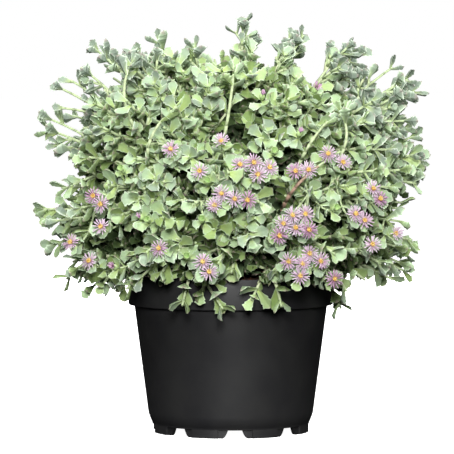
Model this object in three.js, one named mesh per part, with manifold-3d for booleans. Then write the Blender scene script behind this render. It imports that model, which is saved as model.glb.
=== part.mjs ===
// A potted ice plant: a low bush of forked stems with three-sided grey-green leaves in opposite
// pairs and lilac daisy flowers, growing in a black plastic nursery pot.
// Millimetres, +Z up, origin on the floor under the centre of the pot, front of the plant to -Y.
import * as THREE from "three";
import { mergeVertices } from "three/addons/utils/BufferGeometryUtils.js";
import Module from "manifold-3d";

const wasm = await Module();
wasm.setup();

// Pot: a thin moulded shell with a wide rim band, a step above the foot and a notched foot ring
const POT_HEIGHT = 146;
const RIM_RADIUS = 95.5;
const RIM_BAND = 28;
const RIM_STEP = 5.8;
const RIM_TAPER = 0.5;
const WALL = 1.6;
const BODY_FOOT_RADIUS = 76.4;
const BODY_FOOT_Z = 16;
const FOOT_RADIUS = 73;
const FOOT_RING = 5.4;
const LEDGE_Z = 9;
const LEDGE = 0.4;
const BASE_Z = 7.6;
const BASE_THICKNESS = 2.2;
const POT_SIDES = 28;

// Notches under the foot let water out of the drain holes.
const NOTCHES = 8;
const NOTCH_TURN = 3.3;
const NOTCH_HEIGHT = 7;
const NOTCH_WIDTH_LOW = 22;
const NOTCH_WIDTH_HIGH = 12.5;
const NOTCH_INNER_RADIUS = 64;
const POCKET_WIDTH = 31;
const POCKET_RADIUS = 71.3;
const CUT_DEPTH = 20;
const DRAIN_RADIUS = 4.5;
const DRAIN_RING = 60;
const DRAIN_SIDES = 6;

// Soil: fills the pot, a little heaped in the middle
const SOIL_GAP = 0.4;
const SOIL_EDGE_Z = 140;
const SOIL_SHOULDER_Z = 146;
const SOIL_SHOULDER_RADIUS = 62;
const SOIL_TOP_Z = 151;

// Stems: four-sided, standing in plain holes in the soil
const STEM_RADIUS = 2.7;
const FORK_RADIUS = 1.6;
const TIP_RADIUS = 1.1;
const ROOT_DEPTH = 10;
const HOLE_GAP = 0.5;
const COLLAR = 1;
const LEADER_LIFT = 42;
const FORK_LIFT = 16;
const LEAN = 0.3;
const FORKS_AT = [0.36, 0.5];
const FORK_SWELLING = 1.5;
const CLEARANCE = 0.5;

// A stem's base moves out towards the rim the lower its leader hangs.
const BASE_REACH = 82;
const BASE_TOP = 440;
const BASE_FALL = 290;
const TRAIL_BASE_RADIUS = 76;
const TRAIL_LIFT = 46;
const TRAIL_FORK_LIFT = 8;

// Each bunch is dense in the middle: its leaves stand out of a smaller faceted core.
const CORE_FROM = 0.24;
const CORE_TO = 0.7;
const CORE_SIDES = 4;
const CORE_RINGS = [[0.25, 0.8], [0.6, 1], [0.85, 0.7]];
const CORE_RADII = [24, 20, 15];
const CORE_CLEARANCE = 2;

// Leaves: three-sided, in two crossed pairs at each joint of a shoot. They are larger than life
// because they are fewer, and those at the tip are near their real size.
const LEAF_LENGTH = 17;
const LEAF_HALF_WIDTH = 5.6;
const LEAF_DEPTH = 4;
const LEAF_RISE = 1;
const LEAF_WIDEST = 0.68;
const JOINT_LENGTH = 3.4;
const JOINTS = [
  { fromTip: 44, size: 1.8, opening: 62, turn: 45, inward: -0.1 },
  { fromTip: 11, size: 1.15, opening: 48, turn: 0, inward: -0.45 },
];
const LEAF_TURNS = [0, 15, -15, 30, -30];
const BARE_SHARE = 0.3;

// Flowers and buds
const PETALS = 8;
const BLOOM_RADIUS = 9.2;
const PETAL_ROOT_RADIUS = 5.4;
const PETAL_RISE = 1.2;
const DISC_HEIGHT = 2.6;
const BLOOM_DEPTH = 1.4;
const CUP_RADIUS = 2.8;
const CUP_SIDES = 3;
const STALK_REACH = 6;
const STALK_EVERY = 3;
const STALK_PLACES = [0.15, 0.5, 0.85];
const SEAT_GAP = 0.3;
const BUD_LENGTH = 7;
const BUD_RADIUS = 2.6;
const BUD_SIDES = 4;

// The bush: each stem rises from the soil and forks towards its shoot tips, listed as x, y, z.
// The first tip of a stem is its leader, and its base lies under that tip, nearer the middle.
const STEMS = {
  top_middle: [[12, -5, 381], [-10, -66, 340], [24, 70, 342]],
  top_right: [[56, 10, 366], [66, 74, 338]],
  top_left: [[-68, -10, 362], [-30, 30, 352], [-66, 74, 340]],
  crown_right: [[112, -6, 354], [122, 52, 334], [100, -66, 338]],
  crown_left: [[-118, -5, 349], [-112, 60, 328], [-92, -68, 340]],
  shoulder_right: [[165, -5, 327], [154, 48, 300], [164, -38, 288]],
  shoulder_left: [[-150, 0, 326], [-150, 50, 292], [-156, -44, 300]],
  upper_front_right: [[52, -118, 310], [80, -120, 286], [28, -140, 274]],
  upper_right_front: [[122, -92, 290], [98, -124, 262], [148, -76, 262]],
  upper_right_back: [[128, 92, 284], [150, 78, 246], [96, 102, 310]],
  upper_back_right: [[50, 128, 300], [78, 138, 262], [16, 118, 320]],
  upper_back_left: [[-48, 126, 300], [-20, 148, 264], [-70, 104, 322]],
  upper_left_back: [[-118, 94, 286], [-140, 72, 246], [-96, 124, 258]],
  upper_left_front: [[-118, -92, 284], [-134, -72, 256], [-94, -108, 308]],
  upper_front_left: [[-50, -126, 302], [-20, -118, 322], [-76, -132, 268]],
  middle_front: [[-2, -168, 245], [-34, -160, 216], [28, -166, 216]],
  middle_front_right: [[104, -132, 232], [74, -152, 226], [132, -104, 214]],
  middle_right: [[183, 5, 253], [160, 54, 222], [172, -38, 228]],
  middle_back_right: [[118, 126, 228], [148, 92, 204], [92, 144, 206]],
  middle_back: [[2, 168, 236], [36, 166, 208], [-34, 164, 206]],
  middle_back_left: [[-112, 126, 228], [-84, 146, 206], [-140, 94, 204]],
  middle_left: [[-180, -8, 281], [-138, 56, 246], [-148, -54, 228]],
  middle_front_left: [[-112, -124, 232], [-140, -92, 210], [-84, -146, 218]],
  lower_front: [[18, -156, 184], [-12, -142, 162], [30, -108, 168]],
  lower_front_right: [[94, -130, 170], [66, -142, 162]],
  lower_right_front: [[138, -74, 158], [106, -70, 132]],
  lower_right: [[170, 6, 172], [152, 34, 146], [158, -34, 208]],
  lower_right_back: [[134, 96, 166], [98, 124, 158]],
  lower_back: [[0, 162, 172], [60, 148, 158], [-74, 142, 162]],
  lower_left: [[-180, 2, 206], [-148, 62, 168], [-166, -14, 172]],
  lower_left_front: [[-146, -50, 150], [-118, -88, 138]],
  lower_front_left: [[-76, -140, 172], [-46, -146, 174], [-60, -106, 162]],
  trail_left: [[-44, -114, 121], [-6, -121, 120]],
  trail_right: [[46, -114, 120], [18, -122, 128]],
};
const TRAILS = ["trail_left", "trail_right"];

// Flowers as x and z seen from the front or the back; each stands out of the bush at its place,
// and those of a cluster touch and hold together.
const FRONT_BLOOMS = {
  upper_cluster: [[8, 251], [20, 253], [24, 242], [34, 248]],
  upper_pair: [[57, 245], [68, 246]],
  middle_cluster: [[-8, 226], [3, 221], [15, 220], [-14, 215]],
  right_cluster: [[55, 207], [66, 208], [46, 199], [42, 188], [57, 195], [68, 193]],
  lower_cluster: [[70, 173], [51, 166], [63, 163], [79, 165], [60, 151]],
  low_pair: [[-25, 166], [-19, 156]],
  side_pair: [[111, 207], [118, 200]],
  far_right_pair: [[127, 229], [132, 219]],
  left_pair: [[-122, 222], [-115, 215]],
  high_left: [[-53, 264]],
  high_middle: [[-8, 271]],
  middle_left: [[-27, 245]],
  high_right: [[86, 260]],
  right_of_middle: [[99, 252]],
  right_under: [[126, 179]],
  right_edge: [[147, 188]],
  rim_right: [[92, 149]],
  lower_left: [[-63, 177]],
  left_open: [[-115, 195]],
  left_edge: [[-143, 180]],
  left_under: [[-126, 164]],
};
const BACK_BLOOMS = {
  back_upper: [[-20, 270], [-9, 266]],
  back_right: [[73, 221], [81, 215]],
  back_left: [[-86, 216], [-79, 222]],
};
const FRONT_BUDS = [[76, 318], [28, 312], [61, 279], [-80, 205], [-104, 160]];
const BACK_BUDS = [[-60, 250], [50, 270], [-30, 190]];

// The egg-shaped outline of the bush, on which the flowers stand
const BUSH_CENTRE_Z = 205;
const BUSH_WIDTH = 190;
const BUSH_DEPTH = 160;
const BUSH_RISE = 180;

// How far a flower turns to the side, to the front and up
const FACING_SIDE = 0.8;
const FACING_FRONT = 0.35;
const FACING_UP = 0.35;
const FACING_HIGH = 0.6;

const UP = new THREE.Vector3(0, 0, 1);
const radians = THREE.MathUtils.degToRad;
const point = (x, y, z) => new THREE.Vector3(x, y, z);
const fused = (pieces) => pieces.reduce((all, piece) => all.add(piece));
const meets = (piece, others) => others.some((other) => !piece.intersect(other).isEmpty());

// Closed corners and faces as a solid, and back
function closed(corners, faces) {
  return new wasm.Manifold(
    new wasm.Mesh({ numProp: 3, vertProperties: corners, triVerts: new Uint32Array(faces) }),
  );
}

function solid(geometry) {
  const bare = geometry.index ? geometry.toNonIndexed() : geometry.clone();
  for (const name of Object.keys(bare.attributes)) {
    if (name !== "position") bare.deleteAttribute(name);
  }
  const merged = mergeVertices(bare, 1e-4);
  const faces = [];
  for (let i = 0; i < merged.index.count; i += 3) {
    const [a, b, c] = [0, 1, 2].map((k) => merged.index.getX(i + k));
    if (a !== b && b !== c && c !== a) faces.push(a, b, c);
  }
  return closed(merged.attributes.position.array, faces);
}

function geometryOf(made) {
  const mesh = made.getMesh();
  return new THREE.BufferGeometry()
    .setAttribute("position", new THREE.BufferAttribute(mesh.vertProperties, mesh.numProp))
    .setIndex(new THREE.BufferAttribute(mesh.triVerts, 1));
}

// A closed skin over a row of rings that have one number of corners. It starts and ends in a
// point. A cylinder's grid is bent to the rings, and turned round if its faces point in.
function skin(rings) {
  const sides = Math.max(...rings.map((ring) => ring.length));
  const grid = new THREE.CylinderGeometry(0, 0, 1, sides, rings.length - 1);
  const places = grid.attributes.position;
  rings.forEach((ring, row) => {
    for (let side = 0; side <= sides; side++) {
      const at = ring[ring.length === 1 ? 0 : side % sides];
      places.setXYZ(row * (sides + 1) + side, at.x, at.y, at.z);
    }
  });
  const made = solid(grid);
  if (made.volume() > 0) return made;
  grid.index.array.reverse();
  return solid(grid);
}

function ringRound(centre, direction, radius, sides) {
  const helper = Math.abs(direction.z) > 0.9 ? point(1, 0, 0) : UP;
  const side = new THREE.Vector3().crossVectors(direction, helper).normalize();
  const other = new THREE.Vector3().crossVectors(direction, side).normalize();
  return Array.from({ length: sides }, (_, k) => {
    const angle = (2 * Math.PI * k) / sides;
    const out = side.clone().multiplyScalar(Math.cos(angle)).addScaledVector(other, Math.sin(angle));
    return centre.clone().addScaledVector(out, radius);
  });
}

function lathe(profile) {
  const outline = profile.map(([radius, z]) => new THREE.Vector2(radius, z));
  return solid(new THREE.LatheGeometry(outline, POT_SIDES).rotateX(Math.PI / 2));
}

// The radius of the pot's body just under the rim band
const BODY_TOP_RADIUS = RIM_RADIUS - RIM_STEP;
const RIM_Z = POT_HEIGHT - RIM_BAND;
const INSIDE_Z = BASE_Z + BASE_THICKNESS;

function potBody() {
  const shell = lathe([
    [0, BASE_Z],
    [FOOT_RADIUS - FOOT_RING, BASE_Z],
    [FOOT_RADIUS - FOOT_RING, 0],
    [FOOT_RADIUS, 0],
    [FOOT_RADIUS + LEDGE, LEDGE_Z],
    [BODY_FOOT_RADIUS, BODY_FOOT_Z],
    [BODY_TOP_RADIUS, RIM_Z],
    [RIM_RADIUS - RIM_TAPER, RIM_Z],
    [RIM_RADIUS, POT_HEIGHT],
    [RIM_RADIUS - WALL, POT_HEIGHT],
    [RIM_RADIUS - RIM_TAPER - WALL, RIM_Z + WALL],
    [BODY_TOP_RADIUS - WALL, RIM_Z],
    [BODY_FOOT_RADIUS - WALL, BODY_FOOT_Z],
    [FOOT_RADIUS - WALL, INSIDE_Z],
    [0, INSIDE_Z],
  ]);
  const gap = notchOutline(NOTCH_WIDTH_LOW, NOTCH_WIDTH_HIGH).translate(0, -NOTCH_INNER_RADIUS, 0);
  const pocket = notchOutline(POCKET_WIDTH, POCKET_WIDTH).translate(0, -POCKET_RADIUS, 0);
  const drain = new THREE.CylinderGeometry(DRAIN_RADIUS, DRAIN_RADIUS, CUT_DEPTH, DRAIN_SIDES);
  drain.rotateX(Math.PI / 2).translate(0, -DRAIN_RING, BASE_Z);
  const turns = Array.from({ length: NOTCHES }, (_, k) => radians(NOTCH_TURN + (360 / NOTCHES) * k));
  const cuts = turns.flatMap((turn) => [gap, pocket, drain].map((cut) => solid(cut.clone().rotateZ(turn))));
  return cuts.reduce((made, cut) => made.subtract(cut), shell);
}

// An upright outline, wider at the floor, drawn out towards the front
function notchOutline(low, high) {
  const corners = [[-low, -1], [low, -1], [high, NOTCH_HEIGHT], [-high, NOTCH_HEIGHT]];
  const shape = new THREE.Shape(corners.map(([width, z]) => new THREE.Vector2(width / 2, z)));
  const drawn = new THREE.ExtrudeGeometry(shape, { depth: CUT_DEPTH, bevelEnabled: false });
  return drawn.rotateX(Math.PI / 2);
}

function soilBody() {
  const inside = WALL + SOIL_GAP;
  const body = lathe([
    [0, INSIDE_Z + SOIL_GAP],
    [FOOT_RADIUS - inside - LEDGE, INSIDE_Z + SOIL_GAP],
    [BODY_FOOT_RADIUS - inside, BODY_FOOT_Z],
    [BODY_TOP_RADIUS - inside, RIM_Z + SOIL_GAP],
    [BODY_TOP_RADIUS - inside, SOIL_EDGE_Z],
    [SOIL_SHOULDER_RADIUS, SOIL_SHOULDER_Z],
    [0, SOIL_TOP_Z],
  ]);
  return names.reduce((made, name) => made.subtract(holeOf(name)), body);
}

function soilHeight(radius) {
  const ramp = THREE.MathUtils.mapLinear;
  return radius < SOIL_SHOULDER_RADIUS
    ? ramp(radius, 0, SOIL_SHOULDER_RADIUS, SOIL_TOP_Z, SOIL_SHOULDER_Z)
    : ramp(radius, SOIL_SHOULDER_RADIUS, BODY_TOP_RADIUS - WALL, SOIL_SHOULDER_Z, SOIL_EDGE_Z);
}

// Where a stem leaves the soil: in line with its leader
function baseOf(name, leader) {
  const reach = Math.hypot(leader.x, leader.y);
  const low = (BASE_TOP - leader.z) / BASE_FALL;
  const radius = TRAILS.includes(name) ? TRAIL_BASE_RADIUS : (BASE_REACH * low * reach) / BUSH_WIDTH;
  return point((leader.x / reach) * radius, (leader.y / reach) * radius, soilHeight(radius) + COLLAR);
}

// A shoot rises first and then leans out to its tip. It bends in one upright plane.
function shootCurve(start, tip, lift) {
  const bend = start.clone().lerp(tip, LEAN);
  bend.z = (start.z + tip.z) / 2 + lift;
  return new THREE.QuadraticBezierCurve3(start, bend, tip);
}

function shootsOf(name) {
  const [leader, ...others] = STEMS[name].map((at) => point(...at));
  const trails = TRAILS.includes(name);
  const main = shootCurve(baseOf(name, leader), leader, trails ? TRAIL_LIFT : LEADER_LIFT);
  const forkLift = trails ? TRAIL_FORK_LIFT : FORK_LIFT;
  return [main, ...others.map((tip, k) => shootCurve(main.getPoint(FORKS_AT[k]), tip, forkLift))];
}

// The joints of a shoot, none of them on its bare beginning
function jointsOf(curve) {
  const length = curve.getLength();
  const along = (fromTip) => Math.max(BARE_SHARE, 1 - fromTip / length);
  return JOINTS.map((joint) => ({ ...joint, along: along(joint.fromTip) }));
}

// The direction along a curve, and two square to it, one of them square to the curve's plane
function frameAt(curve, along) {
  const axis = curve.getTangent(along);
  const side = new THREE.Vector3().crossVectors(UP, curve.v2.clone().sub(curve.v0)).normalize();
  return { axis, side, other: new THREE.Vector3().crossVectors(axis, side) };
}

function outward({ side, other }, angle) {
  return side.clone().multiplyScalar(Math.cos(angle)).addScaledVector(other, Math.sin(angle));
}

function stemCorners(curve, along, turn, radius) {
  const frame = frameAt(curve, along);
  const corner = (k) => outward(frame, turn + radians(90 * k - 45)).multiplyScalar(radius);
  return [0, 1, 2, 3].map((k) => corner(k).add(curve.getPoint(along)));
}

function holeOf(name) {
  const [main] = shoots[name];
  const level = (z) => stemCorners(main, 0, 0, STEM_RADIUS + HOLE_GAP).map((at) => at.setZ(z));
  const low = main.v0.z - ROOT_DEPTH - HOLE_GAP;
  const high = main.v0.z + ROOT_DEPTH;
  return skin([[main.v0.clone().setZ(low)], level(low), level(high), [main.v0.clone().setZ(high)]]);
}

// Where the corners of one leaf lie: narrow at the shoot, broad near its end, keeled below
function leafCorners(curve, { along, size, opening }, angle, extra = 0) {
  const frame = frameAt(curve, along);
  const out = outward(frame, angle);
  const wide = new THREE.Vector3().crossVectors(frame.axis, out);
  const ahead = frame.axis.clone().multiplyScalar(Math.cos(radians(opening)));
  ahead.addScaledVector(out, Math.sin(radians(opening)));
  const face = new THREE.Vector3().crossVectors(wide, ahead).negate();
  const root = curve.getPoint(along);
  const belly = root.clone().addScaledVector(ahead, LEAF_LENGTH * LEAF_WIDEST * size);
  const half = LEAF_HALF_WIDTH * size + 2 * extra;
  const rise = LEAF_RISE * size + extra;
  return {
    left: belly.clone().addScaledVector(wide, -half).addScaledVector(face, rise),
    right: belly.clone().addScaledVector(wide, half).addScaledVector(face, rise),
    keel: belly.clone().addScaledVector(face, -LEAF_DEPTH * size - 2 * extra),
    tip: root.clone().addScaledVector(ahead, LEAF_LENGTH * size + 2 * extra).addScaledVector(face, rise),
    root,
  };
}

// A shoot as one closed skin: a four-sided stem whose sides are drawn out into leaves at each
// joint. A joint has its turn, and says which of its four sides carry a leaf.
function leafyShoot(curve, radius, joints, bends, rootDepth) {
  const halfJoint = JOINT_LENGTH / 2 / curve.getLength();
  const corners = [];
  const faces = [];
  const add = (at) => corners.push(at) - 1;
  const quad = (a, b, c, d) => faces.push(a, b, c, a, c, d);
  const ring = (along, turn, swelling = 1) => {
    const thick = swelling * (radius + (TIP_RADIUS - radius) * along);
    return stemCorners(curve, along, turn, thick).map(add);
  };
  const between = (low, high) => {
    for (let k = 0; k < 4; k++) quad(low[k], low[(k + 1) % 4], high[(k + 1) % 4], high[k]);
  };
  let last = ring(0, 0);
  let bottom = last;
  if (rootDepth > 0) {
    bottom = stemCorners(curve, 0, 0, radius).map((at) => add(at.setZ(curve.v0.z - rootDepth)));
    between(bottom, last);
  }
  quad(bottom[3], bottom[2], bottom[1], bottom[0]);
  for (const along of bends) {
    const next = ring(along, 0, FORK_SWELLING);
    between(last, next);
    last = next;
  }
  for (const joint of joints) {
    const low = ring(joint.along - halfJoint, joint.turn);
    const high = ring(joint.along + halfJoint, joint.turn);
    between(last, low);
    for (let k = 0; k < 4; k++) {
      const [a, b, c, d] = [low[k], low[(k + 1) % 4], high[(k + 1) % 4], high[k]];
      if (!joint.leaves[k]) {
        quad(a, b, c, d);
        continue;
      }
      const leaf = leafCorners(curve, joint, joint.turn + radians(90 * k));
      const [left, right, keel, tip] = [leaf.left, leaf.right, leaf.keel, leaf.tip].map(add);
      quad(b, c, right, keel);
      quad(c, d, left, right);
      quad(d, a, keel, left);
      faces.push(a, b, keel, keel, right, tip, right, left, tip, left, keel, tip);
    }
    last = high;
  }
  const end = add(curve.getPoint(1).addScaledVector(curve.getTangent(1), 2 * TIP_RADIUS));
  for (let k = 0; k < 4; k++) faces.push(last[k], last[(k + 1) % 4], end);
  return closed(new Float32Array(corners.flatMap((at) => at.toArray())), faces);
}

// The first shoot of a stem is its leader, which has the root and carries the forks.
function shootBody(curve, k, joints) {
  return k === 0
    ? leafyShoot(curve, STEM_RADIUS, joints, FORKS_AT, ROOT_DEPTH)
    : leafyShoot(curve, FORK_RADIUS, joints, [], 0);
}

function bareShoot(curve, k) {
  const bare = jointsOf(curve).map((joint) => ({ ...joint, turn: radians(joint.turn), leaves: [] }));
  return shootBody(curve, k, bare);
}

// The dense heart of a bunch, round its leader
function coreOf(curve, radius) {
  const rings = CORE_RINGS.map(([share, thick]) => {
    const along = CORE_FROM + (CORE_TO - CORE_FROM) * share;
    return ringRound(curve.getPoint(along), curve.getTangent(along), thick * radius, CORE_SIDES);
  });
  return skin([[curve.getPoint(CORE_FROM)], ...rings, [curve.getPoint(CORE_TO)]]);
}

// Where a flower stands on the bush, and the way it faces: outwards and a little up
function bloomPlace([x, z], way) {
  const width = x / BUSH_WIDTH;
  const height = (z - BUSH_CENTRE_Z) / BUSH_RISE;
  const depth = Math.sqrt(1 - width * width - height * height);
  const up = FACING_UP + FACING_HIGH * Math.max(0, height);
  const facing = point(FACING_SIDE * width, way * (FACING_FRONT + depth), up).normalize();
  return { at: point(x, way * BUSH_DEPTH * depth, z), facing };
}

// The flowers of a cluster face one way and stand level, so that their petals hold together
function levelled(seats) {
  const middle = point(0, 0, 0);
  const facing = point(0, 0, 0);
  for (const seat of seats) {
    middle.addScaledVector(seat.at, 1 / seats.length);
    facing.add(seat.facing);
  }
  facing.normalize();
  return seats.map(({ at }) => {
    const height = at.clone().sub(middle).dot(facing);
    return { at: at.addScaledVector(facing, -height), facing };
  });
}

// A flower: a ring of pointed petals round a raised middle
function bloom({ at, facing }) {
  const outer = ringRound(at, facing, BLOOM_RADIUS, 2 * PETALS);
  const inner = ringRound(at, facing, PETAL_ROOT_RADIUS, 2 * PETALS);
  const rim = outer.map((tip, k) => (k % 2 ? inner[k] : tip.addScaledVector(facing, PETAL_RISE)));
  const top = at.clone().addScaledVector(facing, DISC_HEIGHT);
  return skin([[top], rim, [at.clone().addScaledVector(facing, -BLOOM_DEPTH)]]);
}

// The stalk of a flower: it widens from the nearest shoot to the green cup that it sits in
function stalk({ at, facing }, curves) {
  const seat = at.clone().addScaledVector(facing, -BLOOM_DEPTH - SEAT_GAP);
  const heel = seat.clone().addScaledVector(facing, -STALK_REACH);
  return skin([[nearestOn(curves, heel).place], ringRound(seat, facing, CUP_RADIUS, CUP_SIDES), [seat]]);
}

function bud({ at, facing }, curves) {
  const tip = at.clone().addScaledVector(facing, BUD_LENGTH);
  return skin([[nearestOn(curves, at).place], ringRound(at, facing, BUD_RADIUS, BUD_SIDES), [tip]]);
}

// Stalks start on the straight run of a shoot between its two joints
function nearestOn(curves, at) {
  const places = curves.flatMap((curve) => {
    const [low, high] = jointsOf(curve).map(({ along }) => curve.getPoint(along));
    return STALK_PLACES.map((share) => low.clone().lerp(high, share));
  });
  const gaps = places.map((place) => place.distanceTo(at));
  const gap = Math.min(...gaps);
  return { gap, place: places[gaps.indexOf(gap)] };
}

// The bunch whose shoots come nearest to a flower carries it
function carrierOf(seat) {
  return names
    .filter((name) => !TRAILS.includes(name))
    .map((name) => ({ name, gap: nearestOn(shoots[name], seat.at).gap }))
    .sort((a, b) => a.gap - b.gap)[0].name;
}

const names = Object.keys(STEMS);
const shoots = Object.fromEntries(names.map((name) => [name, shootsOf(name)]));
const trunks = Object.fromEntries(names.map((name) => [name, []]));
const blooms = {};

function addBlooms(lists, way) {
  for (const [name, places] of Object.entries(lists)) {
    const seats = levelled(places.map((seen) => bloomPlace(seen, way)));
    blooms[name] = fused(seats.map(bloom));
    const carried = seats.filter((seat, k) => k % STALK_EVERY === 0);
    for (const seat of carried) {
      const carrier = carrierOf(seat);
      trunks[carrier].push(stalk(seat, shoots[carrier]));
    }
  }
}

function addBuds(places, way) {
  for (const seen of places) {
    const seat = bloomPlace(seen, way);
    const carrier = carrierOf(seat);
    trunks[carrier].push(bud(seat, shoots[carrier]));
  }
}

addBlooms(FRONT_BLOOMS, -1);
addBlooms(BACK_BLOOMS, 1);
addBuds(FRONT_BUDS, -1);
addBuds(BACK_BUDS, 1);
const pot = potBody();
const soil = soilBody();

// The room that each bunch takes: its bare shoots and stalks first, then its core and its leaves
const taken = Object.fromEntries(
  names.map((name) => [name, fused([...trunks[name], ...shoots[name].map(bareShoot)])]),
);
const still = [pot, soil, ...Object.values(blooms)];
const allBut = (name) => [...still, ...names.filter((other) => other !== name).map((other) => taken[other])];

function addCore(name) {
  const [main] = shoots[name];
  const others = allBut(name);
  const radius = CORE_RADII.find((each) => !meets(coreOf(main, each + CORE_CLEARANCE), others));
  if (radius) {
    trunks[name].push(coreOf(main, radius));
    taken[name] = taken[name].add(coreOf(main, radius));
  }
}

// The room one leaf takes, with the clearance round it
function leafRoom(curve, joint, angle) {
  const { root, left, right, keel, tip } = leafCorners(curve, joint, angle, CLEARANCE);
  return skin([[root], [left, right, keel], [tip]]);
}

// No leaf grows back into the middle of the bush
function facesOut(curve, joint, angle) {
  const away = curve.getPoint(joint.along).sub(point(0, 0, SOIL_TOP_Z)).normalize();
  return outward(frameAt(curve, joint.along), angle).dot(away) > joint.inward;
}

// Each joint takes the turn at which most of its four leaves are clear of everything else.
function bestJoint(curve, joint, others) {
  const tries = LEAF_TURNS.map((extra) => {
    const turn = radians(joint.turn + extra);
    const leaves = [0, 1, 2, 3].map((k) => {
      const angle = turn + radians(90 * k);
      return facesOut(curve, joint, angle) && !meets(leafRoom(curve, joint, angle), others);
    });
    return { ...joint, turn, leaves, count: leaves.filter(Boolean).length };
  });
  return tries.reduce((best, next) => (next.count > best.count ? next : best));
}

function leafyStem(name) {
  const leafy = [];
  shoots[name].forEach((curve, k) => {
    const others = [...allBut(name), ...leafy];
    const joints = jointsOf(curve).map((joint) => bestJoint(curve, joint, others));
    leafy.push(shootBody(curve, k, joints));
  });
  return fused([...trunks[name], ...leafy]);
}

for (const name of names) if (!TRAILS.includes(name)) addCore(name);
for (const name of names) taken[name] = leafyStem(name);

const black = new THREE.MeshStandardMaterial({ color: 0x262626, roughness: 0.45, metalness: 0 });
const brown = new THREE.MeshStandardMaterial({ color: 0x3a241b, roughness: 0.95, metalness: 0 });
const green = new THREE.MeshStandardMaterial({ color: 0x9db79a, roughness: 0.6, metalness: 0 });
const lilac = new THREE.MeshStandardMaterial({ color: 0xdcaed8, roughness: 0.55, metalness: 0 });

const plant = new THREE.Group();
function addPiece(name, made, material) {
  const mesh = new THREE.Mesh(geometryOf(made), material);
  mesh.name = name;
  plant.add(mesh);
}
addPiece("pot", pot, black);
addPiece("soil", soil, brown);
for (const name of names) addPiece("stem_" + name, taken[name], green);
for (const name of Object.keys(blooms)) addPiece("bloom_" + name, blooms[name], lilac);

export default plant;
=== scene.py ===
import random
from math import atan2, copysign, cos, hypot, pi, radians, sin, sqrt

import bmesh
import bpy
from mathutils import Matrix, Vector, noise


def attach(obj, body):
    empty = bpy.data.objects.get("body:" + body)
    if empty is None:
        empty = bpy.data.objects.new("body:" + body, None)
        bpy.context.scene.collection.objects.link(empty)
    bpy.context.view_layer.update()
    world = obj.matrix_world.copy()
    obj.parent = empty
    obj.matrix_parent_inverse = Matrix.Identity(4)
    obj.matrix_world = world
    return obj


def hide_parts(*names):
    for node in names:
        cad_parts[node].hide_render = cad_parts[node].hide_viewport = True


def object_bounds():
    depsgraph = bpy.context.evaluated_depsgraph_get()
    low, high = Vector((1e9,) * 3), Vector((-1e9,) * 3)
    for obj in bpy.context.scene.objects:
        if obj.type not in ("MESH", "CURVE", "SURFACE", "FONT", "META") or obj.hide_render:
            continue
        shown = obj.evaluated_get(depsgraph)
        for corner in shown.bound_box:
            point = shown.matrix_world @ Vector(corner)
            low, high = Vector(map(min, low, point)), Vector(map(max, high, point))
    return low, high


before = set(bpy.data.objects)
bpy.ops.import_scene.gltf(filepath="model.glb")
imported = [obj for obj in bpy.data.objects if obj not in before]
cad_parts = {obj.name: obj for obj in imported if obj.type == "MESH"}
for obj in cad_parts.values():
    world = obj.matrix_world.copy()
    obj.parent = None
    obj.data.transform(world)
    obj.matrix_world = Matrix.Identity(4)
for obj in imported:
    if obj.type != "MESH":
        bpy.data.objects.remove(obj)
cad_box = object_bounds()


# The view: a long lens nearly three metres off, a little above the middle of the plant. The
# picture is square, 454 by 454 pixels, and takes in the bush and the whole pot.
CAMERA_AT = Vector((0, -2.916, 0.322))
CAMERA_AIM = Vector((-0.0035, 0, 0.1893))
scene = bpy.context.scene
camera = bpy.data.objects.new("view", bpy.data.cameras.new("view"))
camera.data.sensor_width = 36
camera.data.lens = 249.4
camera.location = CAMERA_AT
camera.rotation_euler = (CAMERA_AIM - CAMERA_AT).to_track_quat("-Z", "Y").to_euler()
scene.collection.objects.link(camera)
scene.camera = camera


# Pot: one thin moulding of black polypropylene with a wide rim band. Under a rounded step its
# foot ring has eight notches, where the outer layer of the ring is cut wider than the inner.
RIM_TOP = 0.146
RIM_RADIUS = 0.0955
RIM_LOW = 0.118
RIM_LOW_RADIUS = 0.095
BODY_TOP_RADIUS = 0.0897
WALL = 0.0016
FOOT_RADIUS = 0.073
FOOT_INNER_RADIUS = 0.0676
FOOT_LAYER_RADIUS = 0.0713
BASE_LOW = 0.0076
BASE_HIGH = 0.0098
NOTCHES = 8
NOTCH_TURN = radians(3.3)
NOTCH_HEIGHT = 0.0074
NOTCH_LEVELS = 5
NOTCH_FLARE = 0.6
# Half the turn of a notch in the outer layer of the ring, and low and high in the inner layer
OUTER_NOTCH = radians(12.6)
INNER_NOTCH_LOW = radians(9.2)
INNER_NOTCH_HIGH = radians(5.3)
OUTER_ARC_STEPS = 8
INNER_ARC_STEPS = 12
LAYER_LAP = 0.0002
BASE_LAP = 0.0012
POT_STEPS = 144
CORNER_STEPS = 4
SHARP_ANGLE = radians(28)
FULL_TURN = 2 * pi
MERGE_WITHIN = 1e-6


def piece_from(bm, name, materials):
    mesh = bpy.data.meshes.new(name)
    bm.to_mesh(mesh)
    bm.free()
    piece = bpy.data.objects.new(name, mesh)
    scene.collection.objects.link(piece)
    for material in materials:
        mesh.materials.append(material)
    return piece


def turned(bm, profile, start, angle, steps):
    """Spins an outline of radii and heights about the upright axis."""
    turn = Matrix.Rotation(start, 3, "Z")
    corners = [bm.verts.new(turn @ Vector((radius, 0, height))) for radius, height in profile]
    sides = [bm.edges.new(pair) for pair in zip(corners, corners[1:])]
    bmesh.ops.spin(
        bm, geom=corners + sides, cent=(0, 0, 0), axis=(0, 0, 1), angle=angle, steps=steps,
        use_merge=angle == FULL_TURN,
    )


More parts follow.
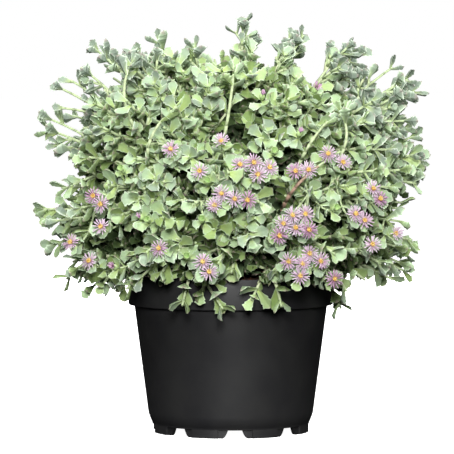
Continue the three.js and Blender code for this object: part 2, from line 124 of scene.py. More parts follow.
def rounded(profile, radii):
    """Rounds the corners of an outline, each by its own radius."""
    rounded_profile = []
    for k, corner in enumerate(profile):
        if k not in radii:
            rounded_profile.append(corner)
            continue
        here = Vector(corner)
        before = (Vector(profile[k - 1]) - here).normalized() * radii[k]
        after = (Vector(profile[k + 1]) - here).normalized() * radii[k]
        for step in range(CORNER_STEPS + 1):
            share = step / CORNER_STEPS
            at = here + before * (1 - share) ** 2 + after * share**2
            rounded_profile.append((at.x, at.y))
    return rounded_profile


def arc(bm, inner, outer, high, middle, half_low, half_high, steps):
    """A closed length of the foot ring, wider at its top than at the floor."""
    rise = [high * level / NOTCH_LEVELS for level in range(NOTCH_LEVELS + 1)]
    outline = [(inner, z) for z in rise] + [(outer, z) for z in reversed(rise)]
    first = len(bm.verts)
    turned(bm, outline + outline[:1], middle - half_low, 2 * half_low, steps)
    bm.verts.ensure_lookup_table()
    for vert in bm.verts[first:]:
        angle = atan2(vert.co.y, vert.co.x) - middle
        angle = (angle + pi) % FULL_TURN - pi
        spread = (half_high - half_low) / half_low * (vert.co.z / high) ** NOTCH_FLARE
        vert.co = Matrix.Rotation(angle * spread, 3, "Z") @ vert.co


bm = bmesh.new()
outline = [
    (0, BASE_LOW), (FOOT_INNER_RADIUS, BASE_LOW), (FOOT_RADIUS, BASE_LOW),
    (0.0732, 0.0090), (0.0737, 0.0097), (0.0752, 0.0133), (0.0765, 0.0170),
    (BODY_TOP_RADIUS, RIM_LOW), (RIM_LOW_RADIUS, RIM_LOW),
    (RIM_RADIUS, RIM_TOP), (RIM_RADIUS - WALL, RIM_TOP),
    (RIM_LOW_RADIUS - WALL, RIM_LOW + WALL), (BODY_TOP_RADIUS - WALL, RIM_LOW),
    (0.0748, 0.0170), (0.0716, BASE_HIGH), (0, BASE_HIGH),
]
# Which corners of the outline are rounded, and how far
POT_CORNERS = {6: 0.003, 7: 0.0005, 8: 0.0009, 9: 0.0006, 10: 0.0006, 12: 0.001, 14: 0.002}
turned(bm, rounded(outline, POT_CORNERS), 0, FULL_TURN, POT_STEPS)
half_pitch = pi / NOTCHES
for k in range(NOTCHES):
    middle = -pi / 2 + NOTCH_TURN + (2 * k + 1) * half_pitch
    outer_half = half_pitch - OUTER_NOTCH
    arc(
        bm, FOOT_LAYER_RADIUS - LAYER_LAP, FOOT_RADIUS, BASE_LOW + BASE_LAP,
        middle, outer_half, outer_half, OUTER_ARC_STEPS,
    )
    arc(
        bm, FOOT_INNER_RADIUS, FOOT_LAYER_RADIUS, NOTCH_HEIGHT,
        middle, half_pitch - INNER_NOTCH_LOW, half_pitch - INNER_NOTCH_HIGH, INNER_ARC_STEPS,
    )
bmesh.ops.remove_doubles(bm, verts=bm.verts, dist=MERGE_WITHIN)
bmesh.ops.holes_fill(bm, edges=[edge for edge in bm.edges if edge.is_boundary])
bmesh.ops.recalc_face_normals(bm, faces=bm.faces)
for face in bm.faces:
    face.smooth = True
for edge in bm.edges:
    edge.smooth = edge.calc_face_angle(0) < SHARP_ANGLE


def shader_input(material, name):
    return material.node_tree.nodes["Principled BSDF"].inputs[name]


def set_input(material, name, value):
    shader_input(material, name).default_value = value


def finish_for(name, roughness, specular=0.3):
    material = bpy.data.materials.new(name)
    material.use_nodes = True
    set_input(material, "Roughness", roughness)
    set_input(material, "Specular IOR Level", specular)
    return material


def add_node(material, kind, **settings):
    node = material.node_tree.nodes.new(kind)
    for name, value in settings.items():
        setattr(node, name, value)
    return node


def join(material, source, target):
    material.node_tree.links.new(source, target)


def colour(material, source):
    join(material, source, shader_input(material, "Base Color"))


def grain(material, scale, detail=3):
    """Noise that is fixed to the piece, as a number from 0 to 1."""
    place = add_node(material, "ShaderNodeTexCoord")
    texture = add_node(material, "ShaderNodeTexNoise")
    texture.inputs["Scale"].default_value = scale
    texture.inputs["Detail"].default_value = detail
    join(material, place.outputs["Object"], texture.inputs["Vector"])
    return texture.outputs["Fac"]


def ramp(material, source, stops):
    """Turns a number into a colour by a row of stops."""
    node = add_node(material, "ShaderNodeValToRGB")
    elements = node.color_ramp.elements
    while len(elements) < len(stops):
        elements.new(0.5)
    for element, (place, colour) in zip(elements, stops):
        element.position = place
        element.color = (*colour, 1)
    join(material, source, node.inputs["Fac"])
    return node.outputs["Color"]


def mixed(material, factor, low, high, blend="MIX"):
    """Mixes two colours; each is a colour or the output of a node."""
    node = add_node(material, "ShaderNodeMix", data_type="RGBA", blend_type=blend)
    for value, socket in ((factor, node.inputs[0]), (low, node.inputs[6]), (high, node.inputs[7])):
        if isinstance(value, bpy.types.NodeSocket):
            join(material, value, socket)
        elif isinstance(value, tuple):
            socket.default_value = (*value, 1)
        else:
            socket.default_value = value
    return node.outputs[2]


BUMP_STRENGTH = 0.6


def bumps(material, scale, depth, detail=3):
    node = add_node(material, "ShaderNodeBump")
    node.inputs["Strength"].default_value = BUMP_STRENGTH
    node.inputs["Distance"].default_value = depth
    join(material, grain(material, scale, detail), node.inputs["Height"])
    join(material, node.outputs["Normal"], shader_input(material, "Normal"))


black_plastic = finish_for("black_plastic", roughness=0.52, specular=0.36)
cloudy = ramp(
    black_plastic, grain(black_plastic, scale=28, detail=4),
    [(0.3, (0.009, 0.009, 0.010)), (0.7, (0.015, 0.015, 0.015))],
)
colour(black_plastic, cloudy)
bumps(black_plastic, scale=1500, detail=2, depth=0.00006)
pot = piece_from(bm, "nursery_pot", [black_plastic])
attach(pot, "root")
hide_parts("pot")


# Compost: peat and fine bark, red-brown and crumbly. It fills the pot to a little below the rim
# and is heaped towards the middle, where the stems stand.
MM = 0.001
SOIL_RADIUS = 0.0876
SOIL_LOW = 0.0102
SOIL_EDGE = 0.140
SOIL_SHOULDER = 0.146
SHOULDER_RADIUS = 0.062
SOIL_TOP = 0.151
SOIL_RINGS = 24
SOIL_STEPS = 96
SOIL_RISE = 0.0016
SOIL_RISE_SCALE = 260
CRUMBS = 1200
CRUMB_SHAPES = 4
CRUMB_SIZES = (1.0, 1.4, 1.8, 2.3)
CRUMB_DENTS = (0.7, 1.25)
CRUMB_LENGTHS = (1, 1.9)
CRUMB_HEIGHTS = (0.5, 0.9)
CRUMB_TILT = 0.5
CRUMB_LIFT = 0.0002
CRUMBS_OFF_WALL = 0.002
FIBRE_SHARE = 0.45


def soil_height(radius):
    if radius < SHOULDER_RADIUS:
        return SOIL_TOP + (SOIL_SHOULDER - SOIL_TOP) * radius / SHOULDER_RADIUS
    share = (radius - SHOULDER_RADIUS) / (SOIL_RADIUS - SHOULDER_RADIUS)
    return SOIL_SHOULDER + (SOIL_EDGE - SOIL_SHOULDER) * share


def blank(name, bm):
    """Keeps a small bmesh as a mesh that is placed many times."""
    mesh = bpy.data.meshes.new(name)
    bm.to_mesh(mesh)
    bm.free()
    return mesh


def put(bm, shape, place, tint=0.5, finish=0):
    """Adds a copy of a shape at its place, with a tint and one of the piece's finishes."""
    copy = shape.copy()
    copy.transform(place)
    copy.attributes["tint"].data.foreach_set("value", [tint] * len(copy.vertices))
    copy.polygons.foreach_set("material_index", [finish] * len(copy.polygons))
    bm.from_mesh(copy)
    bpy.data.meshes.remove(copy)


def shape_with(*layers):
    """An empty bmesh for a shape that is placed many times, with named numbers."""
    shape = bmesh.new()
    for key in ("tint", *layers):
        shape.verts.layers.float.new(key)
    return shape


def crumb_shape(seed):
    draw = random.Random(seed)
    crumb = shape_with()
    bmesh.ops.create_icosphere(crumb, subdivisions=1, radius=1)
    for vert in crumb.verts:
        vert.co *= draw.uniform(*CRUMB_DENTS)
    return blank("crumb", crumb)


draw = random.Random(41)
bm = bmesh.new()
crumb_shapes = [crumb_shape(seed) for seed in range(CRUMB_SHAPES)]
for _ in range(CRUMBS):
    radius = (SOIL_RADIUS - CRUMBS_OFF_WALL) * sqrt(draw.random())
    angle = draw.uniform(0, FULL_TURN)
    size = MM * draw.choice(CRUMB_SIZES)
    height = soil_height(radius) + CRUMB_LIFT
    at = Vector((radius * cos(angle), radius * sin(angle), height))
    spin = Matrix.Rotation(draw.uniform(0, 6), 4, "Z")
    tilt = Matrix.Rotation(draw.uniform(-CRUMB_TILT, CRUMB_TILT), 4, "X")
    length = size * draw.uniform(*CRUMB_LENGTHS)
    stretch = Matrix.Diagonal((length, size, size * draw.uniform(*CRUMB_HEIGHTS), 1))
    place = Matrix.Translation(at) @ (spin @ tilt) @ stretch
    put(bm, draw.choice(crumb_shapes), place, draw.random())
profile = [(0, SOIL_LOW), (0.0700, SOIL_LOW), (0.0745, 0.0170), (SOIL_RADIUS, RIM_LOW)]
for ring in range(SOIL_RINGS + 1):
    radius = SOIL_RADIUS * (1 - ring / SOIL_RINGS)
    profile.append((radius, soil_height(radius)))
first = len(bm.verts)
turned(bm, profile, 0, FULL_TURN, SOIL_STEPS)
bm.verts.ensure_lookup_table()
bed = bm.verts[first:]
for vert in bed:
    if vert.co.z > SOIL_EDGE - MM:
        vert.co.z += SOIL_RISE * noise.noise(vert.co * SOIL_RISE_SCALE)
bmesh.ops.remove_doubles(bm, verts=bed, dist=MERGE_WITHIN)
bmesh.ops.recalc_face_normals(bm, faces=bm.faces)


def attribute(material, name):
    """One of the numbers that the mesh holds at its corners."""
    return add_node(material, "ShaderNodeAttribute", attribute_name=name).outputs["Fac"]


compost = finish_for("compost", roughness=0.95, specular=0.2)
crumb_colour = ramp(
    compost, attribute(compost, "tint"),
    [(0.0, (0.030, 0.012, 0.008)), (0.5, (0.075, 0.028, 0.016)), (1.0, (0.15, 0.062, 0.035))],
)
fibre = ramp(
    compost, grain(compost, scale=420, detail=5),
    [(0.35, (0.02, 0.01, 0.007)), (0.75, (0.13, 0.055, 0.032))],
)
colour(compost, mixed(compost, FIBRE_SHARE, crumb_colour, fibre))
bumps(compost, scale=900, detail=4, depth=0.0006)
soil = piece_from(bm, "compost_bed", [compost])
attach(soil, "root")
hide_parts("soil")


# Flowers: lilac daisies on short stalks, each a flat double ring of thin petals round a tuft of
# yellow stamens, seated in a green cup. Clusters of them stand at the front of the bush. Each is
# listed by where it is seen, across and up, in millimetres.
FRONT_BLOOMS = {
    "upper_cluster": [(8, 251), (20, 253), (24, 242), (34, 248)],
    "upper_pair": [(57, 245), (68, 246)],
    "middle_cluster": [(-8, 226), (3, 221), (15, 220), (-14, 215)],
    "right_cluster": [(55, 207), (66, 208), (46, 199), (42, 188), (57, 195), (68, 193)],
    "lower_cluster": [(70, 173), (51, 166), (63, 163), (79, 165), (60, 151)],
    "low_pair": [(-25, 166), (-19, 156)],
    "side_pair": [(111, 207), (118, 200)],
    "far_right_pair": [(127, 229), (132, 219)],
    "left_pair": [(-122, 222), (-115, 215)],
    "high_left": [(-53, 264)],
    "high_middle": [(-8, 271)],
    "middle_left": [(-27, 245)],
    "high_right": [(86, 260)],
    "right_of_middle": [(99, 252)],
    "right_under": [(126, 179)],
    "right_edge": [(147, 188)],
    "rim_right": [(92, 149)],
    "lower_left": [(-63, 177)],
    "left_open": [(-115, 195)],
    "left_edge": [(-143, 180)],
    "left_under": [(-126, 164)],
}
BACK_BLOOMS = {
    "back_upper": [(-20, 270), (-9, 266)],
    "back_right": [(73, 221), (81, 215)],
    "back_left": [(-86, 216), (-79, 222)],
}
# The bush is nearly an egg: its middle, and half its width, depth and height
BUSH_CENTRE_Z = 205
BUSH_WIDTH = 190
BUSH_DEPTH = 160
BUSH_RISE = 180
# How far flowers turn sideways, out and up with their place on it
TURN_SIDEWAYS = 0.8
TURN_OUT = 0.35
TURN_UP = 0.35
TURN_UP_HIGH = 0.6


def bloom_place(seen, way):
    """Where a flower stands on the egg-shaped bush, and the way it faces."""
    width = seen[0] / BUSH_WIDTH
    height = (seen[1] - BUSH_CENTRE_Z) / BUSH_RISE
    depth = sqrt(1 - width**2 - height**2)
    rise = TURN_UP + TURN_UP_HIGH * max(0, height)
    facing = Vector((TURN_SIDEWAYS * width, way * (TURN_OUT + depth), rise))
    return Vector((seen[0], way * BUSH_DEPTH * depth, seen[1])) * MM, facing.normalized()


def levelled(seats):
    """The flowers of a cluster face one way and stand level."""
    middle = sum((at for at, _ in seats), Vector()) / len(seats)
    facing = sum((way for _, way in seats), Vector()).normalized()
    return [(at - facing * (at - middle).dot(facing), facing) for at, _ in seats]


def cone(bm, sides, foot, head, length):
    """A closed cone that stands on the origin."""
    bmesh.ops.create_cone(
        bm, cap_ends=True, segments=sides, radius1=foot, radius2=head, depth=length,
        matrix=Matrix.Translation((0, 0, length / 2)),
    )


def drawn_out(sides, stations, section, attributes):
    """A closed blade along Z: a prism whose rings are shaped one by one."""
    blade = shape_with(*attributes)
    cone(blade, sides, 1, 1, 1)
    top = next(face for face in blade.faces if face.calc_center_median().z > 0.9)
    for _ in stations[2:]:
        grown = bmesh.ops.extrude_face_region(blade, geom=[top])["geom"]
        corners = [item for item in grown if isinstance(item, bmesh.types.BMVert)]
        bmesh.ops.translate(blade, verts=corners, vec=(0, 0, 1))
        top = next(item for item in grown if isinstance(item, bmesh.types.BMFace))
    bmesh.ops.recalc_face_normals(blade, faces=blade.faces)
    for vert in blade.verts:
        station = stations[round(vert.co.z)]
        vert.co, values = section(vert.co.x, vert.co.y, *station)
        for key, value in values.items():
            vert[blade.verts.layers.float[key]] = value
    return blade


# Rings of a petal: share of its length, half its width, how far it arches, in millimetres
PETAL_STATIONS = [
    (0.0, 0.24, 0.0), (0.35, 0.40, 0.5), (0.72, 0.53, 0.75), (0.93, 0.45, 0.8), (1.0, 0.18, 0.75),
]
PETAL_LENGTH = 7.6
PETAL_THICKNESS = 0.16
STAMEN_SIDES = 5
STAMEN_LENGTH = 2.4
STAMEN_FOOT = 0.2
STAMEN_HEAD = 0.34
DISC_RADIUS = 1.8
DISC_HEIGHT = 1.1
CUP_RADIUS = 2.4
CUP_HEIGHT = 2.6
CUP_DROP = 2.2


def petal_section(x, y, share, half, arch):
    at = Vector((x * half, y * PETAL_THICKNESS - arch, share * PETAL_LENGTH)) * MM
    return at, {"along": share}


petal = drawn_out(4, PETAL_STATIONS, petal_section, ["along"])
for face in petal.faces:
    face.smooth = True
petal = blank("petal", petal)
stamen = shape_with()
cone(stamen, STAMEN_SIDES, STAMEN_FOOT * MM, STAMEN_HEAD * MM, STAMEN_LENGTH * MM)
stamen = blank("stamen", stamen)
disc = shape_with()
bmesh.ops.create_uvsphere(
    disc, u_segments=12, v_segments=6, radius=1,
    matrix=Matrix.Diagonal((DISC_RADIUS * MM, DISC_RADIUS * MM, DISC_HEIGHT * MM, 1)),
)
disc = blank("disc", disc)
cup = shape_with()
bmesh.ops.create_uvsphere(
    cup, u_segments=10, v_segments=7, radius=1,
    matrix=Matrix.Translation((0, 0, -CUP_DROP * MM))
    @ Matrix.Diagonal((CUP_RADIUS * MM, CUP_RADIUS * MM, CUP_HEIGHT * MM, 1)),
)
cup = blank("cup", cup)

petal_pink = finish_for("lilac_petal", roughness=0.55)
petal_along = attribute(petal_pink, "along")
pale_petal = ramp(
    petal_pink, petal_along,
    [(0.0, (0.38, 0.26, 0.30)), (0.35, (0.48, 0.34, 0.43)), (1.0, (0.64, 0.55, 0.62))],
)
deep_petal = ramp(
    petal_pink, petal_along,
    [(0.0, (0.20, 0.07, 0.12)), (0.3, (0.36, 0.18, 0.29)), (1.0, (0.50, 0.34, 0.46))],
)
petal_colour = mixed(petal_pink, attribute(petal_pink, "tint"), pale_petal, deep_petal)
colour(petal_pink, petal_colour)
set_input(petal_pink, "Subsurface Weight", 0.2)
set_input(petal_pink, "Subsurface Radius", (0.002, 0.001, 0.002))
stamen_yellow = finish_for("yellow_stamen", roughness=0.6)
pollen = ramp(
    stamen_yellow, attribute(stamen_yellow, "tint"),
    [(0.0, (0.58, 0.30, 0.05)), (0.6, (0.76, 0.56, 0.14)), (1.0, (0.82, 0.72, 0.32))],
)
colour(stamen_yellow, pollen)
cup_green = finish_for("green_cup", roughness=0.6)
cup_tone = ramp(
    cup_green, grain(cup_green, scale=500), [(0.3, (0.30, 0.44, 0.16)), (0.7, (0.42, 0.56, 0.26))]
)
colour(cup_green, cup_tone)

OUTER_PETALS = 16
INNER_PETALS = 12
STAMENS = 20
# The finishes of a flower, after its petals' own
YELLOW = 1
GREEN = 2
PETAL_ROOT = 1.3
PETAL_SIZES = (0.86, 1.05)
PETAL_SPACING = 0.3
PETAL_WAVE = 0.14
PETAL_TONES = 0.15
WIDE_OPEN = radians(84)
INNER_TURN = 0.17
INNER_LEAN = 0.24
INNER_SIZE = 0.84
INNER_TONE = 0.1
STAMEN_TURN = 2.4
STAMEN_SPREAD = 125
STAMEN_RISE = 0.2


def within(low, value, high):
    return min(high, max(low, value))


def facing_frame(at, facing):
    return Matrix.Translation(at) @ facing.to_track_quat("Z", "Y").to_matrix().to_4x4()


def petal_ring(bm, seat, count, turn, lean, size, tone, draw, finish=0):
    for k in range(count):
        angle = turn + FULL_TURN * (k + draw.uniform(-PETAL_SPACING, PETAL_SPACING)) / count
        tilt = Matrix.Rotation(lean + draw.uniform(-PETAL_WAVE, PETAL_WAVE), 4, "X")
        root = Matrix.Translation((0, 0, PETAL_ROOT * MM))
        length = Matrix.Diagonal((1, 1, size * draw.uniform(*PETAL_SIZES), 1))
        place = seat @ Matrix.Rotation(angle, 4, "Z") @ tilt @ root @ length
        tint = within(0, tone + draw.uniform(-PETAL_TONES, PETAL_TONES), 1)
        put(bm, petal, place, tint, finish)


def bloom(bm, at, facing, openness, tone, draw):
    """One flower. Its petals lean out from its axis by its openness."""
    seat = facing_frame(at, facing)
    lean = WIDE_OPEN * openness
    petal_ring(bm, seat, OUTER_PETALS, 0, lean, 1.0, tone, draw)
    inner_tone = tone + INNER_TONE
    petal_ring(bm, seat, INNER_PETALS, INNER_TURN, lean - INNER_LEAN, INNER_SIZE, inner_tone, draw)
    put(bm, disc, seat, 0.2, YELLOW)
    for k in range(STAMENS):
        radius = DISC_RADIUS * MM * sqrt((k + 0.5) / STAMENS)
        out = Matrix.Translation((radius, 0, STAMEN_RISE * MM))
        place = seat @ Matrix.Rotation(STAMEN_TURN * k, 4, "Z") @ out
        lean_out = Matrix.Rotation(STAMEN_SPREAD * radius, 4, "Y")
        put(bm, stamen, place @ lean_out, draw.random(), YELLOW)
    put(bm, cup, seat, 0.5, GREEN)


# How open the flowers are, and how deep their colour
OPENNESS = (0.62, 0.8, 0.86, 0.9, 0.95, 1.0)
TONES = (0.0, 0.15, 0.4, 0.9)
seats = {}
for lists, way in ((FRONT_BLOOMS, -1), (BACK_BLOOMS, 1)):
    for name, seen in lists.items():
        seats[name] = levelled([bloom_place(at, way) for at in seen])
draw = random.Random(5)
for name, places in seats.items():
    bm = bmesh.new()
    for at, facing in places:
        wobble = Vector((draw.uniform(-0.2, 0.2), 0, draw.uniform(-0.15, 0.25)))
        openness = draw.choice(OPENNESS)
        bloom(bm, at, (facing + wobble).normalized(), openness, draw.choice(TONES), draw)
    flowers = piece_from(bm, "flowers_" + name, [petal_pink, stamen_yellow, cup_green])
    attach(flowers, "root")
    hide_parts("bloom_" + name)


# Leafy stems: pale green shoots, tan and woody near the soil, with pairs of fleshy three-sided
# leaves. Each pair stands across the one below, and young shoots grow in the joints.
STEMS = {
    "top_middle": [(12, -5, 381), (-10, -66, 340), (24, 70, 342)],
    "top_right": [(56, 10, 366), (66, 74, 338)],
    "top_left": [(-68, -10, 362), (-30, 30, 352), (-66, 74, 340)],
    "crown_right": [(112, -6, 354), (122, 52, 334), (100, -66, 338)],
    "crown_left": [(-118, -5, 349), (-112, 60, 328), (-92, -68, 340)],
    "shoulder_right": [(165, -5, 327), (154, 48, 300), (164, -38, 288)],
    "shoulder_left": [(-150, 0, 326), (-150, 50, 292), (-156, -44, 300)],
    "upper_front_right": [(52, -118, 310), (80, -120, 286), (28, -140, 274)],
    "upper_right_front": [(122, -92, 290), (98, -124, 262), (148, -76, 262)],
    "upper_right_back": [(128, 92, 284), (150, 78, 246), (96, 102, 310)],
    "upper_back_right": [(50, 128, 300), (78, 138, 262), (16, 118, 320)],
    "upper_back_left": [(-48, 126, 300), (-20, 148, 264), (-70, 104, 322)],
    "upper_left_back": [(-118, 94, 286), (-140, 72, 246), (-96, 124, 258)],
    "upper_left_front": [(-118, -92, 284), (-134, -72, 256), (-94, -108, 308)],
    "upper_front_left": [(-50, -126, 302), (-20, -118, 322), (-76, -132, 268)],
    "middle_front": [(-2, -168, 245), (-34, -160, 216), (28, -166, 216)],
    "middle_front_right": [(104, -132, 232), (74, -152, 226), (132, -104, 214)],
    "middle_right": [(177, 5, 251), (160, 54, 222), (172, -38, 230)],
    "middle_back_right": [(118, 126, 228), (148, 92, 204), (92, 144, 206)],
    "middle_back": [(2, 168, 236), (36, 166, 208), (-34, 164, 206)],
    "middle_back_left": [(-112, 126, 228), (-84, 146, 206), (-140, 94, 204)],
    "middle_left": [(-172, -8, 280), (-138, 56, 246), (-148, -54, 228)],
    "middle_front_left": [(-112, -124, 232), (-140, -92, 210), (-84, -146, 218)],
    "lower_front": [(18, -156, 184), (-12, -142, 162), (30, -108, 168)],
    "lower_front_right": [(94, -130, 170), (66, -142, 162)],
    "lower_right_front": [(138, -74, 158), (106, -70, 132)],
    "lower_right": [(170, 6, 172), (152, 34, 146), (158, -34, 208)],
    "lower_right_back": [(134, 96, 166), (98, 124, 158)],
    "lower_back": [(0, 162, 172), (60, 148, 158), (-74, 142, 162)],
    "lower_left": [(-175, 2, 203), (-148, 62, 168), (-162, -14, 172)],
    "lower_left_front": [(-146, -50, 150), (-118, -88, 138)],
    "lower_front_left": [(-76, -140, 172), (-46, -146, 174), (-60, -106, 162)],
    "trail_left": [(-44, -114, 121), (-6, -121, 120)],
    "trail_right": [(46, -114, 120), (18, -122, 128)],
}
# Long side sprays that leave the stems on their way, and their tips
SPRAYS = {
    "top_middle": [(18, -96, 334), (-16, 74, 346), (20, -40, 354)],
    "top_left": [(-34, -20, 358), (-87, -14, 351), (-52, -62, 348), (-22, -90, 336)],
    "top_right": [(68, -12, 368), (50, -64, 350), (60, 40, 356)],
    "crown_right": [
        (121, -12, 351), (110, -20, 358), (84, -92, 306), (90, 84, 330), (60, -60, 330),
    ],
    "crown_left": [(-90, -10, 354), (-125, -14, 354), (-70, -96, 324), (-92, 34, 344)],
    "shoulder_right": [
        (172, -8, 316), (151, -6, 338), (166, -14, 282), (160, -20, 314), (132, -62, 308),
    ],
    "shoulder_left": [(-140, -10, 338), (-160, -8, 319), (-126, -66, 306)],
    "middle_right": [
        (170, -18, 274), (174, -20, 256), (170, -20, 240), (162, -24, 212), (168, -50, 258),
        (156, -28, 282),
    ],
    "upper_right_front": [(160, -62, 244), (148, -74, 228), (134, -92, 244)],
    "middle_back": [(-12, 160, 262), (22, 160, 182), (-50, 152, 190)],
    "middle_back_left": [(-104, 132, 250), (-60, 152, 228), (-120, 104, 176), (-150, 76, 226)],
    "middle_back_right": [(104, 132, 250), (66, 152, 236), (124, 110, 184), (160, 66, 236)],
    "upper_back_right": [(30, 138, 286), (70, 116, 304)],
    "upper_back_left": [(-34, 138, 286), (-92, 108, 292)],
    "middle_left": [(-171, -12, 291), (-158, -24, 226), (-163, -6, 267)],
    "lower_right": [
        (167, -6, 164), (170, -14, 177), (166, -8, 146), (162, -16, 154), (140, -20, 143),
        (156, 42, 190), (150, 58, 208), (158, -26, 170),
    ],
    "lower_right_front": [(124, -62, 142), (150, -44, 142), (102, -44, 114), (99, -26, 120)],
    "lower_left": [
        (-176, -12, 206), (-172, -16, 194), (-168, -12, 172), (-152, -36, 187), (-154, -18, 140),
        (-116, 92, 146), (-92, 112, 150), (-86, 66, 168), (-64, 88, 160),
    ],
    "lower_left_front": [
        (-112, -66, 137), (-130, -44, 133), (-142, -30, 148), (-120, -60, 146), (-148, -22, 157),
        (-100, -62, 132), (-98, -74, 150), (-88, -88, 164),
    ],
    "lower_front_left": [(-64, -118, 150), (-84, -112, 146), (-96, -92, 136), (-78, -110, 162)],
    "lower_front_right": [(84, -112, 146), (40, -118, 152)],
    "lower_front": [
        (0, -122, 152), (-26, -118, 150), (22, -152, 204), (-16, -154, 194), (40, -146, 186),
    ],
    "middle_front": [(-20, -158, 238), (24, -160, 240)],
    "upper_front_left": [(-38, -142, 258), (-88, -126, 256), (-60, -130, 284)],
    "middle_front_right": [(160, -60, 196)],
    "middle_front_left": [(-164, -44, 196), (-68, -146, 240), (-98, -132, 206), (-60, -148, 204)],
    "lower_back": [
        (24, 118, 152), (-36, 118, 150), (-4, 138, 140), (44, 126, 138), (-58, 126, 142),
        (-54, 90, 158), (-74, 72, 162), (50, 90, 158),
    ],
    "lower_right_back": [
        (86, 112, 146), (124, 60, 142), (104, 102, 134), (128, 84, 150), (52, 94, 162),
        (94, 34, 160),
    ],
}
SPRAYS_AT = 0.3
MAIN_SHOOT = 0
SIDE_SHOOT = 1
TUFT = 2
# Shoots at the front that show bare, woody or green: where each one comes out, and its tip
OPEN_SHOOTS = {
    "crown_left": [(SIDE_SHOOT, (-90, -94, 290), (-88, -54, 344))],
    "upper_left_front": [(SIDE_SHOOT, (-74, -124, 258), (-46, -110, 304))],
    "upper_front_left": [(SIDE_SHOOT, (-4, -118, 284), (3, -82, 336))],
    "middle_front_right": [(MAIN_SHOOT, (54, -140, 227), (98, -118, 262))],
    "upper_right_front": [
        (SIDE_SHOOT, (97, -116, 256), (97, -92, 300)),
        (SIDE_SHOOT, (64, -128, 258), (86, -112, 288)),
    ],
}
OPEN_WIDTH = 4.5
TRAILS = ("trail_left", "trail_right")
STEM_RADIUS = 2.4
FORK_RADIUS = 1.8
TIP_RADIUS = 1.15
ROOT_DEPTH = 10
LEADER_LIFT = 42
FORK_LIFT = 16
LEAN = 0.3
FORKS_AT = (0.36, 0.5)
BASE_REACH = 82
BASE_TOP = 440
BASE_FALL = 290
TRAIL_BASE_RADIUS = 76
TRAIL_LIFT = 46
TRAIL_FORK_LIFT = 8
LEAF_LENGTH = 17.4
MARGIN_LIFT = 0.5
LEAF_NUMBERS = ("along", "edge", "under")
# Rings of a leaf: share of its length, half its width, depth of its keel, in millimetres
ROUND_LEAF = [
    (0.0, 1.3, 1.3), (0.3, 2.4, 1.8), (0.55, 5.0, 2.8), (0.71, 6.2, 3.5), (0.76, 4.9, 3.4),
    (0.89, 4.6, 2.9), (1.0, 1.3, 0.9),
]
LARGE_LEAF = [
    (0.0, 1.2, 1.3), (0.3, 2.2, 1.8), (0.57, 5.4, 2.8), (0.62, 4.3, 3.0), (0.80, 6.9, 3.6),
    (0.85, 4.4, 3.1), (1.0, 0.7, 0.7),
]
SMALL_LEAF = [
    (0.0, 1.3, 1.3), (0.42, 3.4, 2.4), (0.60, 5.4, 3.0), (0.65, 4.4, 3.1), (0.81, 6.3, 3.6),
    (0.86, 4.1, 3.0), (1.0, 0.7, 0.8),
]
# The leaves inside the bush, which hardly show, have fewer rings and three corners
INNER_LEAF = [(0.0, 1.3, 1.3), (0.45, 3.9, 2.6), (0.80, 6.3, 3.6), (1.0, 1.0, 0.9)]


def leaf_shape(corners, stations, twist, bend):
    """A prism with three corners is turned half round, so that its keel lies below."""
    way = -1 if corners == 3 else 1

    def section(x, y, share, half, keel):
        """One corner of a ring: a shallow trough above, keeled below, with sharp margins."""
        margin = abs(x) > 0.5
        below = not margin and way * y < 0
        if margin:
            at = Vector((copysign(half, way * x), MARGIN_LIFT, 0))
        else:
            at = Vector((0, -keel if below else 0.0, 0))
        at = Matrix.Rotation(twist * share, 3, "Z") @ at
        at += Vector((0, bend * share**2, share * LEAF_LENGTH))
        return at * MM, {"along": share, "edge": float(margin), "under": float(below)}

    return blank("leaf", drawn_out(corners, stations, section, LEAF_NUMBERS))


large_leaves = [
    leaf_shape(4, LARGE_LEAF, 0.12, 1.2),
    leaf_shape(4, LARGE_LEAF, -0.15, 0.4),
    leaf_shape(4, ROUND_LEAF, 0.0, 2.0),
]
small_leaves = [
    leaf_shape(4, SMALL_LEAF, 0.1, 1.0),
    leaf_shape(4, SMALL_LEAF, -0.1, 1.8),
    leaf_shape(4, ROUND_LEAF, 0.05, 1.4),
]
inner_leaves = [leaf_shape(3, INNER_LEAF, twist, 1.2) for twist in (-0.1, 0.1)]

twig = shape_with(*LEAF_NUMBERS)
cone(twig, sides=5, foot=1, head=0.94, length=1)
for face in twig.faces:
    face.smooth = len(face.verts) == 4
twig = blank("twig", twig)
# The finishes of a stem, after its leaves' own
BARK = 1
CUP = 2
PETAL = 3
UP = Vector((0, 0, 1))


def shoot_between(start, tip, lift):
    bend = start.lerp(tip, LEAN)
    bend.z = (start.z + tip.z) / 2 + lift
    return start, bend, tip


def on(shoot, along):
    start, bend, tip = shoot
    return start * (1 - along) ** 2 + bend * 2 * along * (1 - along) + tip * along**2


def heading(shoot, along):
    start, bend, tip = shoot
    return ((bend - start) * (1 - along) + (tip - bend) * along).normalized()


def length_of(shoot, count=12):
    steps = [on(shoot, k / count) for k in range(count + 1)]
    return sum((b - a).length for a, b in zip(steps, steps[1:]))


def base_of(name, leader):
    reach = hypot(leader.x, leader.y)
    radius = BASE_REACH * (BASE_TOP - leader.z) / BASE_FALL * reach / BUSH_WIDTH
    if name in TRAILS:
        radius = TRAIL_BASE_RADIUS
    height = soil_height(radius * MM) / MM + 1
    return Vector((leader.x / reach * radius, leader.y / reach * radius, height))


